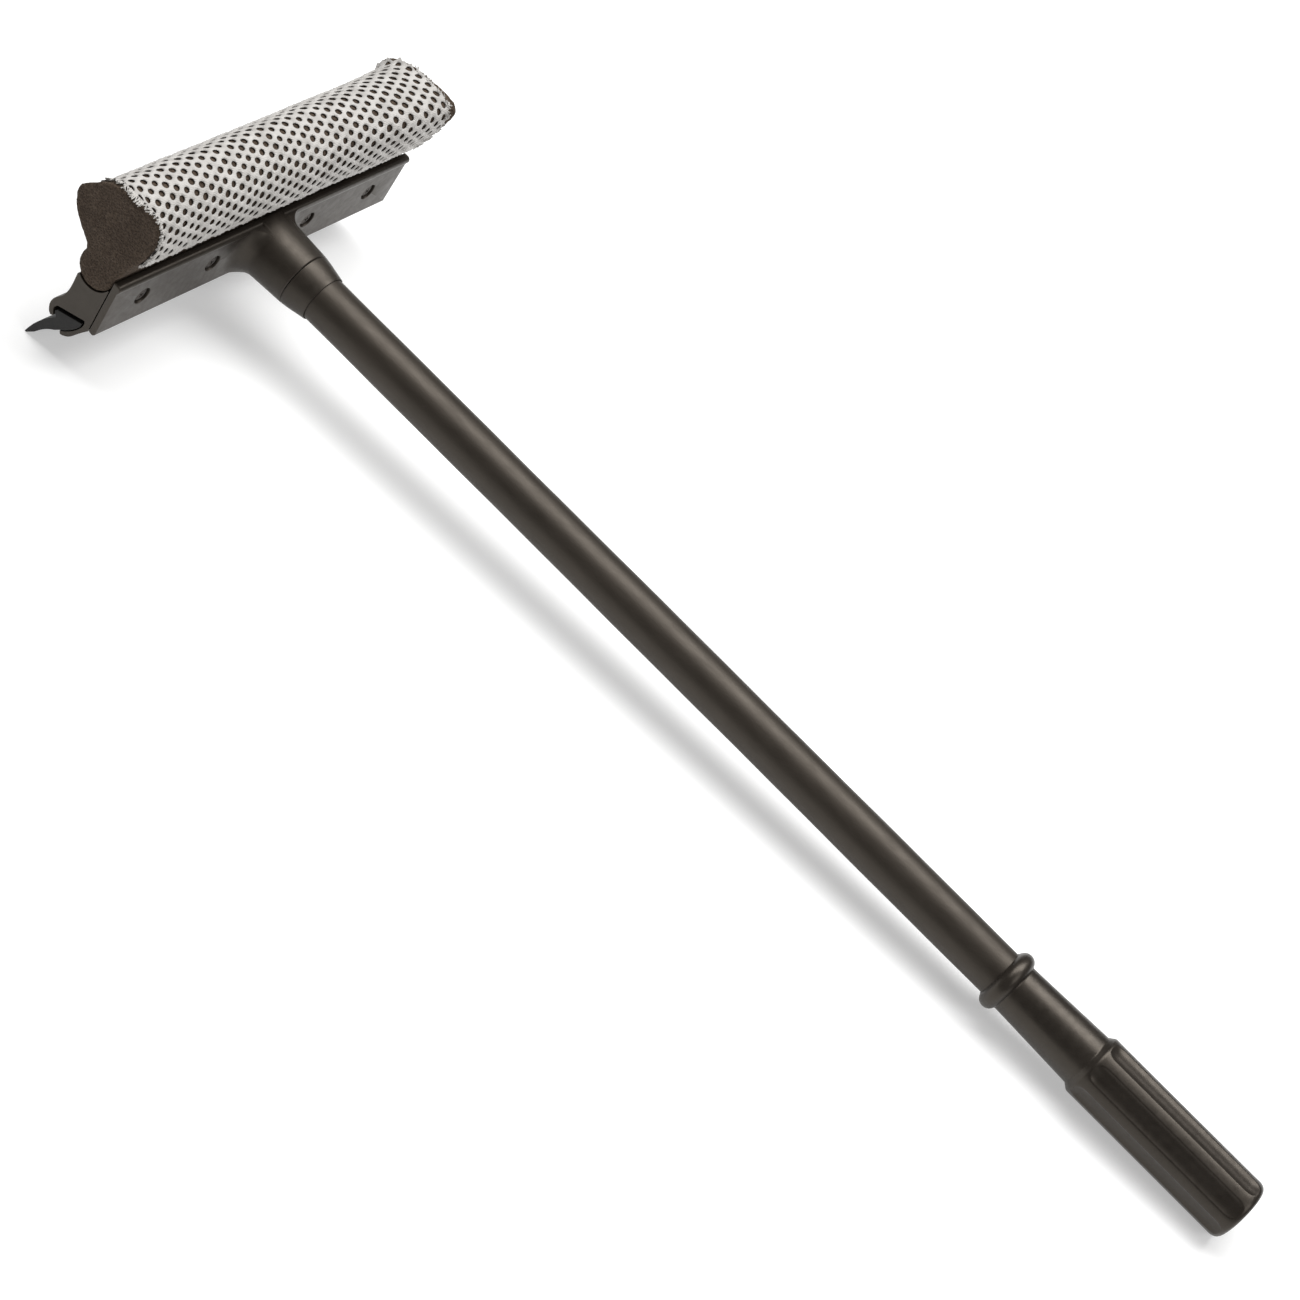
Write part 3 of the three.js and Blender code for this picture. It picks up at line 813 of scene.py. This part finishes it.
def yarn_end(x, along, rng, points, faces):
    """A short frayed end standing out from the cut edge: a thin bent tube."""
    side = math.copysign(1, x)
    reach, turn, lift = rng.uniform(2.2, 4.2) - side * 1.6, rng.uniform(-1.8, 1.8), rng.uniform(-0.2, 0.9)
    thick = rng.uniform(0.3, 0.5)
    rings = []
    for t in np.linspace(0, 1, 5):
        middle = np.array(net_point(x + side * reach * t, along + turn * t * t, 0.5 + lift * t))
        radius = thick * (1 - 0.35 * t)
        rings.append(len(points))
        points += [tuple(middle + radius * np.array([0, math.cos(a), math.sin(a)]))
                   for a in np.radians(range(0, 360, 360 // YARN_SIDES))]
    faces += tube_faces(len(rings), YARN_SIDES, rings[0])
    faces += [tuple(range(start, start + YARN_SIDES)) for start in (rings[0], rings[-1])]


def sponge_net():
    """Netting: a hexagonal lattice of round-topped yarns with real holes, plain hems, and frayed cut ends."""
    rng = np.random.default_rng(RANDOM_SEED)
    corners = cell_corners()
    angles = np.arange(NET_SIDES) * 2 * math.pi / NET_SIDES
    columns = int(NET_HALF / NET_COLUMN)
    width = CROWN_LENGTH - NET_FRONT[0][1] - 0.5
    points, faces, shared = [], [], {}

    def corner(x, along, height, layer):
        key = (round(x + 0.0013, 2), round(along + 0.0013, 2), layer)
        if key not in shared:
            ragged = layer == 0 and abs(x) > columns * NET_COLUMN + 1
            reach = rng.uniform(-0.6, 0.9) * math.copysign(1, x) if ragged else 0
            lift = rng.uniform(-0.3, 0.2) if ragged else 0
            shared[key] = len(points)
            points.append(net_point(x + reach, along, height + lift))
        return shared[key]

    def ring(x, along, radii, height):
        start = len(points)
        for a in angles:
            points.append(net_point(x + radii[0] * math.cos(a), along + radii[1] * math.sin(a), height))
        return list(range(start, start + NET_SIDES))

    for column in range(-columns, columns + 1):
        x = column * NET_COLUMN
        for row in range(int(width / NET_ROW) + 1):
            along = (row + (0.5 if column % 2 else 0)) * NET_ROW + 1.0
            if along > width - 1.0:
                continue
            top, base = [], []
            for k, (dx, ds) in enumerate(corners):
                height = NET_TOP * (1.25 if k % 2 == 0 else 0.88)
                s = float(np.clip(along + ds, 0, width))
                top.append(corner(x + dx, s, height, 0))
                base.append(corner(x + dx, s, 0.0, 1))
            size = float(np.clip((min(along, width - along) - HEM) / HEM_RAMP, 0, 1)) * (1 + rng.uniform(-0.1, 0.08))
            radii = np.maximum(np.array(HOLE_RADII) * size, 0.2)
            cx, cs = x + rng.uniform(-0.12, 0.12), along + rng.uniform(-0.12, 0.12)
            levels = [ring(cx, cs, radii + wider, NET_TOP * share) for wider, share in HOLE_SECTION]
            for low, high in zip([top, *levels], [*levels, base]):
                faces += [(low[i], low[(i + 1) % NET_SIDES], high[(i + 1) % NET_SIDES], high[i])
                          for i in range(NET_SIDES)]
    # an edge of the upper layer used once lies on the rim, which is closed down to the lower layer
    uses = {}
    for face in faces:
        for a, b in zip(face, face[1:] + face[:1]):
            uses[frozenset((a, b))] = uses.get(frozenset((a, b)), 0) + 1
    under = {index: shared[(*key[:2], 1)] for key, index in shared.items() if key[2] == 0}
    for edge, count in uses.items():
        if count == 1 and len(edge) == 2 and edge <= under.keys():
            a, b = edge
            faces.append((a, b, under[b], under[a]))
    for _ in range(YARN_ENDS):
        side = -1 if rng.uniform() < NEAR_YARN_SHARE else 1
        yarn_end(side * (columns * NET_COLUMN + 1.5), rng.uniform(0.5, width * 0.62), rng, points, faces)
    mesh = bare_mesh("sponge_net", points, faces)
    thing = piece("sponge_netting", mesh, NETTING, replaces=["sponge_net"], sharp=80)
    return thing


# ---------------------------------------------------------------- head: blade


def blade_outline():
    """Section of the rubber: wide root, neck between the channel's jaws, curved lip."""
    tip = (28.9, -42.6)
    outline = joined(
        (7.3, -16.3),
        (19.9, -20.5),
        smooth([(20.7, -21.5), (20.5, -22.4), (19.6, -23.4)], 8),
        (19.3, -24.4),
        smooth([(20.6, -26.0), (22.4, -28.4), (24.5, -31.6), (27.0, -36.8), tip], 28),
        (tip[0] - 1.0, tip[1] + 0.1),
        smooth([(24.8, -39.2), (22.2, -35.2), (19.6, -32.2), (17.0, -30.0), (15.1, -28.0)], 28),
        smooth([(12.8, -26.0), (9.7, -22.4), (7.4, -18.4)], 14),
    )
    return soften(outline, 0.3)


def rubber_blade():
    """Squeegee rubber, the one piece that slides."""
    mesh = prism("rubber_blade", blade_outline(), -HEAD_HALF, HEAD_HALF, 0.12, np.linspace(-90, 90, 19))
    return piece("squeegee_rubber", mesh, RUBBER, body="blade", replaces=["rubber_blade"])


# ---------------------------------------------------------------- handle


def socket_ferrule():
    """Short tapered collar between the socket and the bare pole."""
    start = -SOCKET_LENGTH - CLEARANCE
    end = start - FERRULE_LENGTH
    bore = POLE_RADIUS + CLEARANCE
    profile = soften([
        (bore, start), (SOCKET_END_RADIUS - 0.1, start), (SOCKET_END_RADIUS - 0.5, start - 3), (bore + 0.3, end),
        (bore, end),
    ], 0.25)
    mesh = revolve("ferrule", [*profile, profile[0]], ROUND_SEGMENTS)
    return piece("ferrule_collar", mesh, HEAD_PLASTIC, replaces=["socket_ferrule"])


def pole_tube():
    """Round tube, with the slight unevenness of an extrusion along its length."""
    inside = POLE_RADIUS - POLE_WALL
    stations = np.linspace(POLE_START, POLE_END, 72)
    profile = [(inside, POLE_START), (POLE_RADIUS - 0.4, POLE_START)]
    profile += [(POLE_RADIUS + 0.05 * math.sin(y * 0.045) + 0.03 * math.sin(y * 0.13), y) for y in stations[1:-1]]
    profile += [(POLE_RADIUS - 0.4, POLE_END), (inside, POLE_END), (inside, POLE_START)]
    mesh = revolve("pole", profile, ROUND_SEGMENTS)
    return piece("pole_body", mesh, POLE_PLASTIC, replaces=["pole_tube"])


def flute_radius(radius, y, angles):
    """Radius of the grip round one section: plain lands and scooped flutes that run out towards both ends."""
    ring = np.full(len(angles), float(radius))
    if y > GRIP_STEP or radius < GRIP_RADIUS - 2.7:
        return ring
    turn = 360 / FLUTE_COUNT
    from_middle = (np.degrees(angles) - FLUTE_PHASE) % turn - turn / 2
    hollow = 1 - np.abs(from_middle / FLUTE_HALF_ANGLE) ** 3
    inside = min(FLUTE_START - y, y - FLUTE_END) / FLUTE_RUN_OUT
    depth = FLUTE_DEPTH * (hollow - max(1 - inside, 0) ** 2)
    return ring - (depth + np.sqrt(depth ** 2 + 0.004)) / 2


def grip_sleeve():
    """One moulding: drip bead, neck, step, fluted body and rounded end, with the pole's blind bore."""
    mouth = BEAD_CENTRE + BEAD_HALF_WIDTH
    neck_end = BEAD_CENTRE - BEAD_HALF_WIDTH
    bore = POLE_RADIUS + CLEARANCE
    full = GRIP_RADIUS
    bead = arc((BEAD_RADIUS - BEAD_HALF_WIDTH, BEAD_CENTRE), BEAD_HALF_WIDTH, 72, -72, 24)
    neck = smooth([(NECK_RADIUS - 0.2, neck_end - 0.3), (NECK_RADIUS, neck_end - 8),
                   (NECK_FLARE_RADIUS, GRIP_STEP + 4), (NECK_FLARE_RADIUS, GRIP_STEP + 2.9)], 36)
    step = smooth([(NECK_FLARE_RADIUS + 0.1, GRIP_STEP + 2.5), (full - 1.0, GRIP_STEP + 1.1),
                   (full - 0.25, GRIP_STEP + 0.1), (full, GRIP_STEP - 0.8)], 12)
    body = [(full, y) for y in np.linspace(GRIP_STEP - 1.3, GRIP_END + 4.6, 120)]
    end = smooth([(full, GRIP_END + 4.2), (full - 0.15, GRIP_END + 2.6), (full - 0.7, GRIP_END + 1.2),
                  (full - 1.7, GRIP_END + 0.3), (full - 2.9, GRIP_END)], 24)
    profile = [(0, POLE_END - CLEARANCE), (bore, POLE_END - CLEARANCE), (bore, mouth + 0.05),
               (NECK_RADIUS - 0.2, mouth), *bead, *neck, *step, *body, *end, (8, GRIP_END), (3, GRIP_END),
               (0, GRIP_END)]
    mesh = revolve("grip", profile, GRIP_SEGMENTS, flute_radius)
    return piece("grip_body", mesh, GRIP_PLASTIC, replaces=["grip_sleeve"], sharp=40)


# ---------------------------------------------------------------- stage, light and camera


CAMERA_LENS = 75.4                        # for a sensor 36 mm wide
CAMERA_PLACE = (-888.75, -372.79, 742.97)
CAMERA_RIGHT = (0.5141, -0.7040, 0.4901)
CAMERA_UP = (0.4002, 0.7022, 0.5889)
CAMERA_BACK = (-0.7587, -0.1067, 0.6427)
FLOOR_HALF = 25.0                         # metres
FLOOR_HEIGHT = -0.0002
FLOOR_GLOW = 0.42
SKY_STRENGTH = 0.1


def camera():
    """At the photograph's place. CAMERA_PLACE and the three directions are in the tool's axes."""
    data = bpy.data.cameras.new("camera")
    data.sensor_width = 36
    data.lens = CAMERA_LENS
    data.clip_start, data.clip_end = 0.05, 50
    thing = bpy.data.objects.new("camera", data)
    bpy.context.scene.collection.objects.link(thing)
    directions = [Vector(np.array(d) @ AXES) for d in (CAMERA_RIGHT, CAMERA_UP, CAMERA_BACK)]
    turn = Matrix(directions).transposed()
    thing.matrix_world = Matrix.Translation(Vector(place(CAMERA_PLACE))) @ turn.to_4x4()
    bpy.context.scene.camera = thing


def lamp(name, place_at, target, size, power):
    """A rectangular softbox, in frame metres and watts."""
    data = bpy.data.lights.new(name, "AREA")
    data.shape = "RECTANGLE"
    data.size, data.size_y = size
    data.energy = power
    thing = bpy.data.objects.new(name, data)
    bpy.context.scene.collection.objects.link(thing)
    thing.location = place_at
    thing.rotation_mode = "QUATERNION"
    thing.rotation_quaternion = (Vector(target) - Vector(place_at)).to_track_quat("-Z", "Y")


def stage():
    """White paper floor that glows a little, a faint sky and two softboxes."""
    size, z = FLOOR_HALF, FLOOR_HEIGHT
    mesh = bpy.data.meshes.new("floor")
    mesh.from_pydata([(-size, -size, z), (size, -size, z), (size, size, z), (-size, size, z)], [], [(0, 1, 2, 3)])
    material, tree, shader = node_material("floor_paper")
    tint = add_ramp(tree, add_noise(tree, 3, 2), [(0.3, (0.6, 0.6, 0.597)), (0.7, (0.63, 0.63, 0.627))])
    tree.links.new(tint, shader.inputs["Base Color"])
    shader.inputs["Roughness"].default_value = 0.9
    shader.inputs["Emission Color"].default_value = (1, 1, 1, 1)
    shader.inputs["Emission Strength"].default_value = FLOOR_GLOW
    mesh.materials.append(material)
    floor = bpy.data.objects.new("floor", mesh)
    bpy.context.scene.collection.objects.link(floor)
    world = bpy.data.worlds.new("studio")
    bpy.context.scene.world = world
    world.use_nodes = True
    sky = world.node_tree.nodes["Background"]
    sky.inputs["Color"].default_value = (1, 1, 1, 1)
    sky.inputs["Strength"].default_value = SKY_STRENGTH
    lamp("key_softbox", (0.45, 0.25, 2.1), (0, 0, 0.03), (2.8, 1.35), 78)
    lamp("front_softbox", (-0.5, -1.5, 1.5), (0, 0, 0.0), (1.0, 1.0), 10)
    bpy.context.scene.view_settings.view_transform = "Standard"


# ---------------------------------------------------------------- the scene

camera()
stage()
front_moulding()
rear_moulding()
for number, station in enumerate(SCREW_STATIONS, start=1):
    clamp_screw(number, station)
sponge()
sponge_net()
rubber_blade()
socket_ferrule()
pole_tube()
grip_sleeve()
for node, finish in (("handle_screw", PLAIN_STEEL), ("pole_plug", PLUG_PLASTIC)):
    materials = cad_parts[node].data.materials
    materials.clear()
    materials.append(finish)
